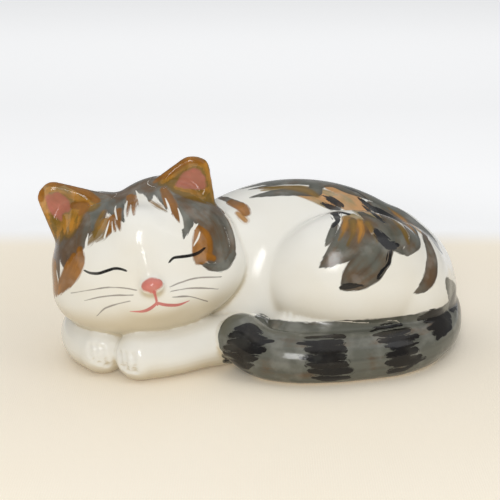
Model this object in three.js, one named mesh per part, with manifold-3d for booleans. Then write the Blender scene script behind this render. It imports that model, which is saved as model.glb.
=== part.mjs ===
// A slip-cast ceramic figurine of a sleeping cat, curled up with its head on its forelegs and its
// tail wrapped round the front. It is built as a pottery builds it: hollow castings (torso, head,
// two forelegs and tail), two ears and a hind paw, each trimmed to fit its neighbours and luted on
// with slip, then four felt pads under the unglazed foot.
// Millimetres. +X runs from head to rump, +Y to the cat's back, +Z up. The felt pads stand on
// Z = 0, and the origin is under the middle of the whole figurine.

import * as THREE from 'three';
import { mergeVertices } from 'three/addons/utils/BufferGeometryUtils.js';
import { LoftGeometry } from 'three/addons/geometries/LoftGeometry.js';
import Module from 'manifold-3d';

// ---- driving dimensions ----------------------------------------------------------------------

const wall = 5; // thickness of the cast wall
const joint = 0.3; // slip line between two luted pieces
const padHeight = 1.2; // thickness of a felt pad
const padRadius = 5.5;
const footHeight = padHeight + joint; // the unglazed foot, where the castings are ground flat
const ventRadius = 9; // pour and vent hole in the foot
const neckHoleRadius = 9; // the hole between the torso's hollow and the head's
const airHoleRadius = 4.5; // the holes from the torso's hollow into the tail and the forelegs
const footprintMiddle = [4.7, 6.4]; // where the layout below has the middle of the figurine

// The torso: centre and radii of the lumps of clay that it blends from.
const torsoLumps = [
  { name: 'trunk', at: [28, 19, 18], radii: [91, 57, 77.5] },
  { name: 'haunch', at: [58, -8, 44], radii: [45, 30, 38] },
  { name: 'shoulder', at: [-6, 4, 40], radii: [42, 29, 44] },
  { name: 'rump', at: [78, 14, 30], radii: [44.5, 46, 47] },
];
const torsoBlend = 7; // how softly the lumps run into each other
const torsoMiddle = [28, 8, 34];

// The head rests on the forelegs, tilted to its own right and turned a little towards the tail.
const headAt = [-57.5, -16, 57];
const headTilt = 10.5; // degrees about Y
const headTurn = 6; // degrees about Z
const headLumps = [
  { name: 'skull', at: [0, 0, 3], radii: [53, 41, 39.5] },
  { name: 'cheeks', at: [1, -5, -10], radii: [55, 37, 27] },
  { name: 'muzzle', at: [0, -33, -10], radii: [17, 11, 11] },
  { name: 'right ear mound', at: [-27, 8, 22], radii: [20, 12, 15] },
  { name: 'left ear mound', at: [22, 8, 24], radii: [20, 12, 14] },
];
const headBlend = 8;

// The ears in the head's own frame: where they are rooted, how far they lean out, and their size.
const leftEarRoot = [26, 2, 34];
const rightEarRoot = [-33, 2, 33];
const earLean = 38; // degrees outwards from the head's up
const earHeight = 26; // root to tip
const earHalfWidth = 21;
const earHalfThickness = 8.5;
const earHollowRadii = [12, 8, 17];

// Limbs: points on the centre line, with the radius there.
const tailLine = [
  [70, 48, 27, 18],
  [92, 40, 25, 17.5],
  [108, 24, 20, 16],
  [110, 2, 16, 15],
  [100, -18, 14.5, 14.3],
  [84, -34, 13.2, 14.2],
  [64, -44, 12.8, 14.2],
  [42, -48.5, 12.8, 14.2],
  [22, -48, 13.6, 14.2],
  [6, -43, 18.5, 14],
  [-5, -38, 22.8, 13.8],
];
const leftForelegLine = [
  [20, -12, 22, 14],
  [-5, -22, 18, 14.5],
  [-28, -32, 15, 14],
  [-45, -41, 13, 13.6],
  [-60, -45, 12.8, 14.4],
];
const rightForelegLine = [
  [-50, 24, 24, 16],
  [-78, 14, 20, 16],
  [-95, -8, 15.5, 14.8],
  [-93, -24, 13.5, 14.2],
  [-82, -36, 12.8, 14.2],
];
const hindPawLine = [
  [72, -26, 20, 16],
  [50, -30, 20.5, 16],
  [25, -31, 19, 15],
];
const limbSides = 18;
const limbSteps = 20;
const boreSides = 12;

const padPlaces = [
  [-83, -32],
  [-22, 42],
  [84, 40],
  [62, -22],
];

// ---- shaping ---------------------------------------------------------------------------------

const wasm = await Module();
wasm.setup();

const vector = (a) => new THREE.Vector3(a[0], a[1], a[2]);

// Distance from a point to a lump, near enough close to its surface.
function lumpDistance(lump, p) {
  const [rx, ry, rz] = lump.radii;
  const [x, y, z] = [p.x - lump.at[0], p.y - lump.at[1], p.z - lump.at[2]];
  const k = Math.hypot(x / rx, y / ry, z / rz);
  const slope = Math.hypot(x / rx ** 2, y / ry ** 2, z / rz ** 2);
  return slope > 0 ? (k * (k - 1)) / slope : -Math.min(rx, ry, rz);
}

// Lumps pressed together: the least distance, with the creases rounded over.
function clayDistance(lumps, blend, p) {
  return lumps
    .map((lump) => lumpDistance(lump, p))
    .reduce((a, b) => {
      const h = Math.max(blend - Math.abs(a - b), 0) / blend;
      return Math.min(a, b) - (h * h * blend) / 4;
    });
}

// A round ball whose points are pushed out along their rays to the clay's surface. A positive
// swell makes it larger than the clay, and a negative one makes the hollow inside its wall.
function sculpt(lumps, blend, middle, detail, swell = 0) {
  const geometry = new THREE.IcosahedronGeometry(1, detail);
  const position = geometry.attributes.position;
  const centre = vector(middle);
  for (let i = 0; i < position.count; i++) {
    const ray = new THREE.Vector3().fromBufferAttribute(position, i).normalize();
    let near = 0;
    let far = 200;
    while (far - near > 0.005) {
      const half = (near + far) / 2;
      const point = ray.clone().multiplyScalar(half).add(centre);
      if (clayDistance(lumps, blend, point) < swell) near = half;
      else far = half;
    }
    ray.multiplyScalar(near).add(centre);
    position.setXYZ(i, ray.x, ray.y, ray.z);
  }
  return geometry;
}

// A limb lofted along its centre line, with round ends. The radius changes along the line.
function limb(line, sides, steps, swell = 0) {
  const curve = new THREE.CatmullRomCurve3(line.map(vector), false, 'centripetal');
  const radii = new THREE.CatmullRomCurve3(line.map((p) => new THREE.Vector3(p[3], 0, 0)));
  const length = curve.getLength();
  const up = new THREE.Vector3(0, 0, 1);
  const sections = [];
  const capSteps = 5;
  const places = [];
  for (let i = 0; i <= capSteps; i++) places.push({ t: 0, cap: -1 + i / capSteps });
  for (let i = 1; i < steps; i++) places.push({ t: i / steps, cap: 0 });
  for (let i = 0; i <= capSteps; i++) places.push({ t: 1, cap: i / capSteps });
  for (const { t, cap } of places) {
    const along = curve.getTangentAt(t);
    const radius = radii.getPoint(curve.getUtoTmapping(t, t * length)).x + swell;
    const angle = (cap * Math.PI) / 2;
    const across = Math.max(radius * Math.cos(angle), 0.4);
    const centre = curve.getPointAt(t).addScaledVector(along, radius * Math.sin(angle));
    const side = new THREE.Vector3().crossVectors(along, up).normalize();
    const top = new THREE.Vector3().crossVectors(side, along).normalize();
    sections.push(
      Array.from({ length: sides }, (_, k) => {
        const turn = (k / sides) * 2 * Math.PI;
        return centre
          .clone()
          .addScaledVector(side, -across * Math.cos(turn))
          .addScaledVector(top, across * Math.sin(turn));
      }),
    );
  }
  return new LoftGeometry(sections, { capStart: true, capEnd: true });
}

// ---- booleans --------------------------------------------------------------------------------

// A closed geometry as a solid, placed by a matrix.
function solid(geometry, matrix = new THREE.Matrix4()) {
  const bare = geometry.index ? geometry.toNonIndexed() : geometry.clone();
  const placed = new THREE.BufferGeometry()
    .setAttribute('position', bare.getAttribute('position'))
    .applyMatrix4(matrix);
  const merged = mergeVertices(placed, 1e-3);
  const made = new wasm.Manifold(
    new wasm.Mesh({
      numProp: 3,
      vertProperties: merged.attributes.position.array,
      triVerts: new Uint32Array(merged.index.array),
    }),
  );
  if (made.volume() < 0) throw new Error('a geometry is inside out');
  return made;
}

// A solid back as a geometry.
function geometryOf(made) {
  const mesh = made.getMesh();
  const count = mesh.numProp;
  const points = new Float32Array(mesh.numVert * 3);
  for (let i = 0; i < mesh.numVert; i++) {
    points.set(mesh.vertProperties.subarray(i * count, i * count + 3), i * 3);
  }
  const geometry = new THREE.BufferGeometry();
  geometry.setAttribute('position', new THREE.BufferAttribute(points, 3));
  geometry.setIndex(new THREE.BufferAttribute(mesh.triVerts, 1));
  geometry.computeVertexNormals();
  return geometry;
}

const place = (x, y, z) => new THREE.Matrix4().makeTranslation(x, y, z);

// Everything below a height, taken off to leave a flat foot or the floor of a hollow.
function groundFlat(made, height) {
  const depth = 120;
  const slab = solid(new THREE.BoxGeometry(400, 400, depth), place(0, 0, height - depth / 2));
  return made.subtract(slab);
}

// A round hole from one point to another.
function hole(from, to, radius) {
  const [start, end] = [vector(from), vector(to)];
  const axis = end.clone().sub(start);
  const turn = new THREE.Quaternion().setFromUnitVectors(
    new THREE.Vector3(0, 1, 0),
    axis.clone().normalize(),
  );
  const middle = start.add(end).multiplyScalar(0.5);
  const matrix = new THREE.Matrix4().compose(middle, turn, new THREE.Vector3(1, 1, 1));
  return solid(new THREE.CylinderGeometry(radius, radius, axis.length(), 24), matrix);
}

// The largest of the pieces that a cut leaves, because trimming can leave crumbs.
function largest(made) {
  return made.decompose().reduce((a, b) => (a.volume() > b.volume() ? a : b));
}

// ---- the castings ----------------------------------------------------------------------------

const degrees = THREE.MathUtils.degToRad;
const headFrame = new THREE.Matrix4()
  .makeTranslation(...headAt)
  .multiply(new THREE.Matrix4().makeRotationZ(degrees(headTurn)))
  .multiply(new THREE.Matrix4().makeRotationY(degrees(-headTilt)));

const torso = (detail, swell) => solid(sculpt(torsoLumps, torsoBlend, torsoMiddle, detail, swell));
const head = (detail, swell) =>
  solid(sculpt(headLumps, headBlend, [0, 0, 0], detail, swell), headFrame);

const torsoOuter = torso(10, 0);
const torsoCutter = torso(10, joint);
const headOuter = head(9, 0);
const headCutter = head(9, joint);

function makeTorso() {
  const hollow = groundFlat(torso(6, -wall), footHeight + wall);
  const vent = hole([24, 14, -5], [24, 14, 20], ventRadius);
  const toHead = hole([-10, 0, 46], [-50, -16, 56], neckHoleRadius);
  const toTail = hole([60, 30, 26], [100, 40, 23], airHoleRadius);
  const toLeftForeleg = hole([10, -10, 22], [-8, -34, 18], airHoleRadius);
  const toRightForeleg = hole([-20, 18, 24], [-82, 12, 20], airHoleRadius);
  const shell = groundFlat(torsoOuter, footHeight).subtract(hollow);
  return [vent, toHead, toTail, toLeftForeleg, toRightForeleg].reduce(
    (left, cut) => left.subtract(cut),
    shell,
  );
}

function makeHead() {
  return largest(headOuter.subtract(head(5, -wall)).subtract(torsoCutter));
}

// One ear, side +1 for the cat's left: a flattened rounded cone with its front scooped out.
function makeEar(side, root) {
  const steps = 12;
  const sections = Array.from({ length: steps + 1 }, (_, i) => {
    const t = Math.sin(((i / steps) * Math.PI) / 2);
    const taper = Math.max(Math.sqrt(1 - t ** 6) * (1 - 0.68 * t), 0.03);
    return Array.from({ length: 20 }, (_, k) => {
      const turn = (k / 20) * 2 * Math.PI;
      return new THREE.Vector3(
        earHalfWidth * taper * Math.cos(turn),
        earHalfThickness * Math.sqrt(taper) * Math.sin(turn),
        earHeight * (t * 1.3 - 0.3),
      );
    });
  });
  const horn = solid(new LoftGeometry(sections, { capStart: true, capEnd: true }));
  const scoop = solid(
    new THREE.SphereGeometry(1, 16, 12),
    place(0, -earHalfThickness - 1, earHeight * 0.3).scale(vector(earHollowRadii)),
  );
  const stand = new THREE.Matrix4()
    .makeTranslation(...root)
    .multiply(new THREE.Matrix4().makeRotationY(degrees(side * earLean)));
  const frame = headFrame.clone().multiply(stand);
  return largest(horn.subtract(scoop).transform(frame.elements).subtract(headCutter));
}

const tailCutter = solid(limb(tailLine, limbSides, limbSteps, joint));
const leftForelegCutter = solid(limb(leftForelegLine, limbSides, limbSteps, joint));

// A hollow limb: its bore stays open where the torso cuts through it.
function makeHollowLimb(line, ...neighbours) {
  const outer = groundFlat(solid(limb(line, limbSides, limbSteps)), footHeight);
  const bore = groundFlat(solid(limb(line, boreSides, limbSteps / 2, -wall)), footHeight + wall / 2);
  const trimmed = [torsoCutter, ...neighbours].reduce((left, cut) => left.subtract(cut), outer);
  return largest(trimmed.subtract(bore));
}

function makeHindPaw() {
  const outer = groundFlat(solid(limb(hindPawLine, limbSides, 8)), footHeight);
  const trimmed = [torsoCutter, tailCutter, leftForelegCutter];
  return largest(trimmed.reduce((left, cut) => left.subtract(cut), outer));
}

// ---- the assembly ----------------------------------------------------------------------------

const glaze = new THREE.MeshStandardMaterial({ color: 0xe9e5da, roughness: 0.15, metalness: 0 });
const calico = new THREE.MeshStandardMaterial({ color: 0x5c5650, roughness: 0.15, metalness: 0 });
const ginger = new THREE.MeshStandardMaterial({ color: 0xa9763a, roughness: 0.15, metalness: 0 });
const felt = new THREE.MeshStandardMaterial({ color: 0x4a3f36, roughness: 1, metalness: 0 });

const figurine = new THREE.Group();

function add(name, geometry, material) {
  geometry.translate(-footprintMiddle[0], -footprintMiddle[1], 0);
  const mesh = new THREE.Mesh(geometry, material);
  mesh.name = name;
  figurine.add(mesh);
}

add('torso_casting', geometryOf(makeTorso()), glaze);
add('head_casting', geometryOf(makeHead()), glaze);
add('left_ear', geometryOf(makeEar(1, leftEarRoot)), ginger);
add('right_ear', geometryOf(makeEar(-1, rightEarRoot)), ginger);
add('left_foreleg', geometryOf(makeHollowLimb(leftForelegLine, headCutter, tailCutter)), glaze);
add('right_foreleg', geometryOf(makeHollowLimb(rightForelegLine, headCutter, leftForelegCutter)), glaze);
add('hind_paw', geometryOf(makeHindPaw()), glaze);
add('tail_casting', geometryOf(makeHollowLimb(tailLine)), calico);

padPlaces.forEach(([x, y], i) => {
  const pad = new THREE.CylinderGeometry(padRadius, padRadius, padHeight, 32);
  pad.rotateX(Math.PI / 2);
  pad.translate(x, y, padHeight / 2);
  add(`felt_pad_${i + 1}`, pad, felt);
});

export default figurine;
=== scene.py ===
# %% [markdown]
# # A sleeping ceramic cat
# The real object is a hollow pottery figurine: several thin castings luted together with slip,
# painted by hand with a soft brush, dipped in clear glaze and fired. This lesson rebuilds it the
# same way. The clay is pressed together from soft lumps, trimmed into the potter's pieces, painted
# stroke by stroke on its own surface, and glazed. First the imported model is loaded, because every
# size and place below comes from its boxes.

# %% Load the frame
import math
import bpy
import numpy as np
from mathutils import Matrix, Vector
from mathutils.bvhtree import BVHTree
from mathutils.kdtree import KDTree


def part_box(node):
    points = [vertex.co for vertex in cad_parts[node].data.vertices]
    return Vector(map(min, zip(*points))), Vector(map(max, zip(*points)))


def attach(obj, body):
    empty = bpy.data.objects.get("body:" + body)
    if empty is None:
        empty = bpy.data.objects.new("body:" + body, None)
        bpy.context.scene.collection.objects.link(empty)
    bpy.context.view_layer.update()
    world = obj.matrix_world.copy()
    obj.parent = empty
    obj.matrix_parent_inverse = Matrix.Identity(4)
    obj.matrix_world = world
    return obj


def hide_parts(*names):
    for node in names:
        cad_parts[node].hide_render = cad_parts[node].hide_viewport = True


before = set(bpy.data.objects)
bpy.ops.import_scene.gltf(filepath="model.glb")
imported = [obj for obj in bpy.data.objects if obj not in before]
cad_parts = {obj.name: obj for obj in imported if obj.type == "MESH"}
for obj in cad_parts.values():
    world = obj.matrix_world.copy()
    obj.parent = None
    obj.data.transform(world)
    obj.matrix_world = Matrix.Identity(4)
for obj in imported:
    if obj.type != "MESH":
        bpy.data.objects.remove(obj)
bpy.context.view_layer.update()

mm = 0.001  # the clay is measured in millimetres, and Blender in metres
print("nodes:", sorted(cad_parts))


# %% [markdown]
# ## The camera
# The camera is set first, because the painter later looks from the same place. It stands in front
# of the cat and looks a little down, through a long lens that keeps the shape true.

# %% Camera
CAMERA_DISTANCE = 0.7
CAMERA_RISE = math.radians(18)
camera_target = Vector((-4.7, 11.0, 53.6)) * mm
camera_look = Vector((0, math.cos(CAMERA_RISE), -math.sin(CAMERA_RISE)))
camera_data = bpy.data.cameras.new("camera")
camera_data.lens = 85
camera = bpy.data.objects.new("camera", camera_data)
camera.location = camera_target - camera_look * CAMERA_DISTANCE
camera.rotation_euler = camera_look.to_track_quat("-Z", "Y").to_euler()
bpy.context.scene.collection.objects.link(camera)
bpy.context.scene.camera = camera
print("camera at", [round(c, 3) for c in camera.location])


# %% [markdown]
# ## Hands on the clay
# Five small helpers stand for what the hands do. `pick` takes up pieces and puts down all others,
# because an operator acts on whatever is selected. `near` gives a place beside the middle of one
# of the model's parts. `bake_place` moves a piece's place and size into its mesh. `lump` rolls a
# ball and presses it to an oval. `coil` rolls a sausage whose thickness changes along its length.

# %% Selecting and placing
def pick(*pieces):
    if bpy.context.object and bpy.context.object.mode != "OBJECT":
        bpy.ops.object.mode_set(mode="OBJECT")
    bpy.ops.object.select_all(action="DESELECT")
    for piece in pieces:
        piece.select_set(True)
    bpy.context.view_layer.objects.active = pieces[0]
    return pieces[0]


def near(node, *offset):
    low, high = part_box(node)
    return (low + high) / 2 + Vector(offset) * mm


def bake_place(piece):
    pick(piece)
    bpy.ops.object.transform_apply(location=True, rotation=True, scale=True)
    return piece


# %% Rolling balls and coils
def lump(name, centre, radii, turn=None):
    turn = turn or Matrix.Identity(3)
    bpy.ops.object.select_all(action="DESELECT")
    bpy.ops.mesh.primitive_uv_sphere_add(segments=48, ring_count=24, radius=1)
    ball = bpy.context.object
    ball.name = name
    ball.scale = Vector(radii) * mm
    ball.rotation_euler = turn.to_euler()
    ball.location = centre
    return bake_place(ball)


def coil(name, line, extra=0.0):
    """A sausage along points of (x, y, z, radius) in millimetres, with round ends."""
    data = bpy.data.curves.new(name, "CURVE")
    data.dimensions = "3D"
    data.bevel_depth = mm
    data.bevel_resolution = 12
    data.resolution_u = 16
    data.use_fill_caps = True
    spline = data.splines.new("BEZIER")
    spline.bezier_points.add(len(line) - 1)
    for point, (x, y, z, radius) in zip(spline.bezier_points, line):
        point.co = Vector((x, y, z)) * mm
        point.radius = radius + extra
        point.handle_left_type = point.handle_right_type = "AUTO"
    sausage = bpy.data.objects.new(name, data)
    bpy.context.scene.collection.objects.link(sausage)
    pick(sausage)
    bpy.ops.object.convert(target="MESH")
    sausage = bpy.context.object
    ends = [
        lump(name + "_end", Vector(end[:3]) * mm, [end[3] + extra] * 3) for end in (line[0], line[-1])
    ]
    pick(sausage, *ends)
    bpy.ops.object.join()
    return sausage


# %% [markdown]
# ## Pressing lumps together
# Soft clay lumps pressed together become one skin, and a wet thumb rounds the crease between
# them. A voxel remesh makes the one skin, and the Smooth modifier is the thumb: more strokes of it
# make a wider, softer crease. Each stage presses new lumps onto the last one, so the first joins
# are soft and the last ones stay crisp.

# %% Remesh and smooth
CLAY_GRAIN = 1.0  # millimetres between neighbouring points of the skin


def apply(piece, kind, **settings):
    pick(piece)
    modifier = piece.modifiers.new(kind.title(), kind)
    for key, value in settings.items():
        setattr(modifier, key, value)
    bpy.ops.object.modifier_apply(modifier=modifier.name)
    return piece


def twin(piece, name):
    copy = piece.copy()
    copy.data = piece.data.copy()
    copy.name = name
    bpy.context.scene.collection.objects.link(copy)
    return copy


def press(name, thumb_strokes, *lumps, grain=CLAY_GRAIN):
    piece = pick(*lumps)
    if len(lumps) > 1:
        bpy.ops.object.join()
    piece.name = name
    apply(piece, "REMESH", mode="VOXEL", voxel_size=grain * mm)
    if thumb_strokes:
        apply(piece, "SMOOTH", factor=0.5, iterations=thumb_strokes)
    print(name, len(piece.data.vertices), "points")
    return piece


# %% [markdown]
# ## The torso
# A sleeping cat's torso is a long dome. The trunk, the rump and the shoulder are pressed together
# softly. The haunch comes next with fewer thumb strokes, because the real figurine has a clear
# groove where the thigh lies against the belly.

# %% Torso clay
torso = press(
    "torso_clay",
    110,
    lump("trunk", near("torso_casting", -2, 2, -30.5), (91, 52.5, 77.5)),
    lump("rump", near("torso_casting", 48, -5, -18.5), (45, 46, 47)),
    lump("shoulder", near("torso_casting", -36, -15, -8.5), (42, 29, 44)),
    lump("hip", near("torso_casting", 45, -22, -11), (42, 34, 41)),
    lump("loin", near("torso_casting", 41, 4, -11), (45, 37, 43.5)),
)

haunch_turn = Matrix.Rotation(math.radians(5), 3, "Z")
torso = press(
    "torso_clay",
    16,
    torso,
    lump("haunch", near("torso_casting", 27, -34, -3), (48.5, 29, 41.5), haunch_turn),
)

# %% [markdown]
# ## The head
# The head has a frame of its own, because it is tilted towards the cat's right paw and turned a
# little towards the tail. `on_head` takes a point from that frame to the figurine's. The cheeks
# are wide and low, the muzzle is a small mound, and a soft ridge runs down the forehead to it.

# %% Head frame
HEAD_TILT = math.radians(-10.5)
HEAD_TURN = math.radians(6)
head_turn = (Matrix.Rotation(HEAD_TURN, 4, "Z") @ Matrix.Rotation(HEAD_TILT, 4, "Y")).to_3x3()
head_middle = near("head_casting", -1.2, 2.1, -2)


def on_head(x, y, z):
    return head_middle + head_turn @ (Vector((x, y, z)) * mm)


# %% Head clay
head = press(
    "head_clay",
    60,
    lump("skull", on_head(-0.5, 0, 3), (54, 41, 39.5), head_turn),
    lump("cheeks", on_head(0, -2, -7), (56.5, 39.5, 32), head_turn),
    lump("muzzle", on_head(1.5, -30, -8), (25, 14, 16), head_turn),
    lump("brow", on_head(0, -22, 14), (22, 17, 26), head_turn),
    lump("right_crown", on_head(-26, 6, 30), (24, 16, 16), head_turn),
    lump("left_crown", on_head(13, 6, 32), (27, 16, 15), head_turn),
    grain=1.4,
)


# %% [markdown]
# ## The ears
# Each ear is a rounded triangular cup, leaning outwards, with a soft rim. A cone is flattened,
# its front is scooped out with an oval tool, and the thumb rounds the rim. Then both ears are
# pressed onto the crown with a soft join, as they flow into the head with no edge.

# %% One ear
EAR_SUNK = 9  # how far the horn reaches into the crown


def ear(name, side, root, lean, height, tip_shift, foot_radius):
    stand = head_turn @ Matrix.Rotation(side * math.radians(lean), 3, "Y")
    bpy.ops.object.select_all(action="DESELECT")
    bpy.ops.mesh.primitive_cone_add(
        vertices=48, radius1=foot_radius, radius2=6, depth=height + EAR_SUNK
    )
    horn = bpy.context.object
    horn.name = name
    bpy.ops.object.mode_set(mode="EDIT")
    bpy.ops.mesh.select_all(action="SELECT")
    bpy.ops.transform.resize(value=(1, 0.42, 1))
    bpy.ops.transform.translate(value=(0, 0, (height - EAR_SUNK) / 2))
    bpy.ops.mesh.select_all(action="DESELECT")
    bpy.ops.object.mode_set(mode="OBJECT")
    for vertex in horn.data.vertices:
        vertex.select = vertex.co.z > height - 1
    bpy.ops.object.mode_set(mode="EDIT")
    bpy.ops.transform.translate(value=(side * tip_shift, 0, 0))
    bpy.ops.mesh.bevel(offset=3.5, segments=4, affect="EDGES")
    bpy.ops.object.mode_set(mode="OBJECT")
    scoop = lump("scoop", Vector((side * tip_shift * 0.4, -9.5, height * 0.3)) * mm, (13, 8.5, 17))
    horn.scale = (mm, mm, mm)
    bake_place(horn)
    apply(horn, "BOOLEAN", operation="DIFFERENCE", object=scoop, solver="MANIFOLD")
    bpy.data.objects.remove(scoop)
    horn.rotation_euler = stand.to_euler()
    horn.location = on_head(*root)
    bake_place(horn)
    return press(name, 4, horn)


left_ear = ear("left_ear_clay", 1, (25.5, 2, 37.5), 25, 21, 6, 24.5)
right_ear = ear("right_ear_clay", -1, (-32.5, 2, 33.5), 36.5, 26.5, 0, 24)
nose = lump("nose", on_head(1.5, -43.4, 0.8), (6.6, 3.8, 4.8), head_turn)
ridge_turn = head_turn @ Matrix.Rotation(math.radians(-19), 3, "X")
ridge = lump("nose_ridge", on_head(0.5, -33.2, 15), (7.5, 6.5, 25), ridge_turn)
ear_forms = [twin(left_ear, "left_ear_form"), twin(right_ear, "right_ear_form")]
head = press("head_clay", 9, head, left_ear, right_ear, nose, ridge)
head_form = twin(head, "head_form")

# %% [markdown]
# ## The limbs and the tail
# The forelegs, the hind paw and the tail are coils of clay that change thickness along their
# length. The tail's tip turns up and rests against the foreleg. All of it is pressed onto the
# torso, and the crease is left fairly crisp.

# %% Limb lines
left_foreleg_line = [
    (15, -18, 22, 14),
    (-10, -31, 16, 14.5),
    (-33, -39, 14.5, 14),
    (-50, -47, 13, 13.6),
    (-65, -51, 12.8, 14.4),
]
right_foreleg_line = [
    (-55, 18, 24, 16),
    (-83, 8, 20, 16),
    (-98.5, -14, 15.5, 14.8),
    (-96.5, -30, 13.5, 14.2),
    (-87, -42, 12.8, 14.2),
]
hind_paw_line = [(67, -32, 20, 16), (45, -36, 20.5, 16), (20, -37, 19, 15)]
tail_line = [
    (65, 42, 27, 18),
    (87, 34, 25, 17.5),
    (103, 18, 20, 16),
    (105, -4, 16, 15),
    (97, -26, 14, 14.3),
    (81, -42, 12.8, 14.2),
    (59, -50.5, 12.8, 14.2),
    (37, -55, 12.8, 14.2),
    (17, -55, 12.9, 14.2),
    (1, -50.5, 14.8, 14.2),
    (-9.5, -45.5, 20.5, 14),
]

# %% Press on the limbs
master = press("cat_clay", 6, torso, coil("hind_paw_clay", hind_paw_line))
master = press(
    "cat_clay",
    4,
    master,
    head,
    coil("left_foreleg_clay", left_foreleg_line),
    coil("right_foreleg_clay", right_foreleg_line),
    coil("tail_clay", tail_line),
    grain=0.9,
)

# %% [markdown]
# ## Grinding the foot flat
# The potter grinds the whole underside flat so that it stands. A big block is cut away from below
# the height where the model's castings end, just above the felt pads.

# %% Flat foot
foot_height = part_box("torso_casting")[0].z
bpy.ops.object.select_all(action="DESELECT")
bpy.ops.mesh.primitive_cube_add(size=1, location=(0, 0, foot_height - 0.05), scale=(0.4, 0.4, 0.1))
grindstone = bpy.context.object
apply(master, "BOOLEAN", operation="DIFFERENCE", object=grindstone, solver="MANIFOLD")
bpy.data.objects.remove(grindstone)
print("foot at", round(foot_height / mm, 2), "mm")


# %% [markdown]
# ## The painter's glass
# Toe lines and brush strokes are easiest to place as the painter sees them, so each one is drawn on
# a sheet of glass that stands square to the eye near the cat's middle, in millimetres right and up
# from the middle of the glass. A ray from the eye through the glass finds the clay behind each
# point. Where a ray just misses the edge of the cat, the nearest clay is taken. Other panes look
# from the back, from above and from the side of the cat's right temple.

# %% Panes and lines
BRUSH_STEP = 1.5  # millimetres between the points that a brush passes


def pane(turn, rise):
    rise = math.radians(rise)
    look = Vector((0, math.cos(rise), -math.sin(rise)))
    look = Matrix.Rotation(math.radians(turn), 3, "Z") @ look
    right = look.cross(Vector((0, 0, 1))).normalized()
    return camera_target - look * CAMERA_DISTANCE, right, right.cross(look)


def round_line(points):
    """A smooth curve through the given points, stepped as finely as a brush moves."""
    points = np.array(points, float)
    ends = np.vstack([2 * points[0] - points[1], points, 2 * points[-1] - points[-2]])
    curve = []
    for a, b, c, d in zip(ends, ends[1:], ends[2:], ends[3:]):
        steps = max(2, int(np.linalg.norm((c - b)[:-1]) / BRUSH_STEP))
        for t in np.linspace(0, 1, steps, endpoint=False):
            bend = (2 * a - 5 * b + 4 * c - d) * t * t + (3 * b - a - 3 * c + d) * t ** 3
            curve.append((2 * b + (c - a) * t + bend) / 2)
    return np.array(curve + [points[-1]])


def through(view, line):
    """Where a line on the glass falls on the clay, and which way the clay faces there."""
    eye, right, up = view
    places, facings = [], []
    for x, y, _ in line:
        ray = (camera_target + (right * x + up * y) * mm - eye).normalized()
        place, facing, _, _ = skin.ray_cast(eye, ray)
        if place is None:
            reach = CAMERA_DISTANCE
            for _ in range(4):
                place, facing, _, _ = skin.find_nearest(eye + ray * reach)
                reach = (place - eye).dot(ray)
        places.append(place / mm)
        facings.append(facing)
    return np.array(places), np.array(facings)


def feel(piece):
    return BVHTree.FromObject(piece, bpy.context.evaluated_depsgraph_get())


skin = feel(master)
front = pane(0, 18)
back = pane(180, 18)
above = pane(0, 85)
temple_side = pane(-90, 10)
print("panes ready")

# %% [markdown]
# ## Toe lines
# The toes are only hinted at, by short lines pressed into the leather-hard clay with the edge of a
# wooden tool. The points of the skin that lie on a line are pushed inwards, and proportional
# editing draws their neighbours after them, which leaves a soft groove.


# %% Press the tool
def point_places(piece):
    flat = np.empty(len(piece.data.vertices) * 3)
    piece.data.vertices.foreach_get("co", flat)
    return flat.reshape(-1, 3) / mm


def tool_line(piece, view, line, depth, width):
    spots, _ = through(view, round_line([(x, y, 0) for x, y in line]))
    points = point_places(piece)
    gap = np.min([np.linalg.norm(points - spot, axis=1) for spot in spots], axis=0)
    pick(piece)
    bpy.ops.object.mode_set(mode="EDIT")
    bpy.ops.mesh.select_mode(type="VERT")
    bpy.ops.mesh.select_all(action="DESELECT")
    bpy.ops.object.mode_set(mode="OBJECT")
    piece.data.vertices.foreach_set("select", gap < CLAY_GRAIN * 0.75)
    bpy.ops.object.mode_set(mode="EDIT")
    bpy.ops.transform.shrink_fatten(
        value=-depth * mm,
        use_proportional_edit=True,
        proportional_edit_falloff="SMOOTH",
        proportional_size=width * mm,
    )
    bpy.ops.object.mode_set(mode="OBJECT")


toe_lines = [
    [(-95.5, -57), (-95, -61), (-93.5, -65)],
    [(-92, -57), (-91, -62), (-89.5, -66.5)],
    [(-88, -58), (-87, -63), (-85, -68)],
    [(-77.5, -61), (-77, -65), (-76, -69)],
    [(-74.5, -61.5), (-74, -67), (-73, -71.5)],
    [(-70, -62), (-69, -67), (-68.5, -72)],
]
hind_toe_lines = [[(16, -45), (20, -41), (22, -39)], [(20, -46), (24, -41.5), (26, -39.5)]]
for line in toe_lines:
    tool_line(master, front, line, 1.1, 2.4)
for line in hind_toe_lines:
    tool_line(master, front, line, 0.5, 2.0)
print("pressed", len(toe_lines) + len(hind_toe_lines), "toe lines")

# %% [markdown]
# ## Where the glaze will pool, and painted shade
# Wet glaze runs off the ridges and gathers in the creases, where it fires a little darker and
# warmer. The same darkening stands in for the shade that falls in the creases, so it is partly
# painted shade. A heavily smoothed twin of the cat floats above its own creases, so the height of
# the twin over each point of the skin tells how deep the glaze will stand there. Skin that faces
# down is darkened too, and that is painted shade only.

# %% Crease depth
CREASE_BLUR_STROKES = 60
UNDERSIDE_SHADE = 1.9  # painted shade: skin that faces down is darkened, as if shaded from above
UNDERSIDE_SHADE_START = 0.22
blurred = twin(master, "blurred_clay")
apply(blurred, "SMOOTH", factor=0.5, iterations=CREASE_BLUR_STROKES)


def point_facings(piece):
    flat = np.empty(len(piece.data.vertices) * 3)
    piece.data.vertices.foreach_get("normal", flat)
    return flat.reshape(-1, 3)


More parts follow.
